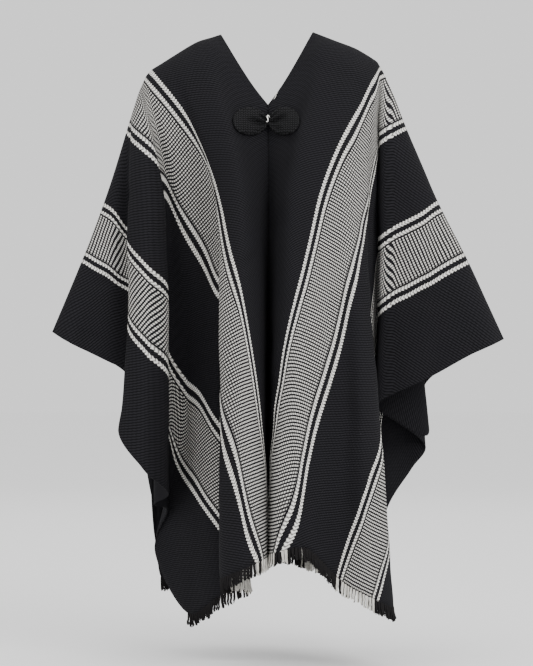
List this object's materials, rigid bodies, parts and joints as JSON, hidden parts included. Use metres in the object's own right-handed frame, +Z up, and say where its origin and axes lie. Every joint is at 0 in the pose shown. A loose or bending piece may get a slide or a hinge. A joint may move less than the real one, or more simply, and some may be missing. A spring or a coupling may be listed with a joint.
{
  "type": "poncho",
  "caption": "Open-sided wool poncho of woven panels with striped bands, V neck, knitted bow and cut fringe along the hems, in the hollow form of a wearer.",
  "frame": {"origin": "on the shoulder line, midway between the two neck points, where the wearer carries it", "axes": "+Z up, -Y to the front, +X to the right of a viewer who faces the front"},
  "size_m": [0.7633, 0.379, 1.0098],
  "materials": {
    "black_wool": "matte woven",
    "fringe_yarn": "matte yarn",
    "bow_knit": "matte knit",
    "clasp_metal": "satin"
  },
  "bodies": {
    "root": {"panel_left": "black_wool", "panel_right": "black_wool", "fringe_front_left": "fringe_yarn", "fringe_front_right": "fringe_yarn", "fringe_back_left": "fringe_yarn", "fringe_back_right": "fringe_yarn", "bow_lobe_left": "bow_knit", "bow_lobe_right": "bow_knit", "bow_clasp": "clasp_metal"}
  },
  "joints": []
}
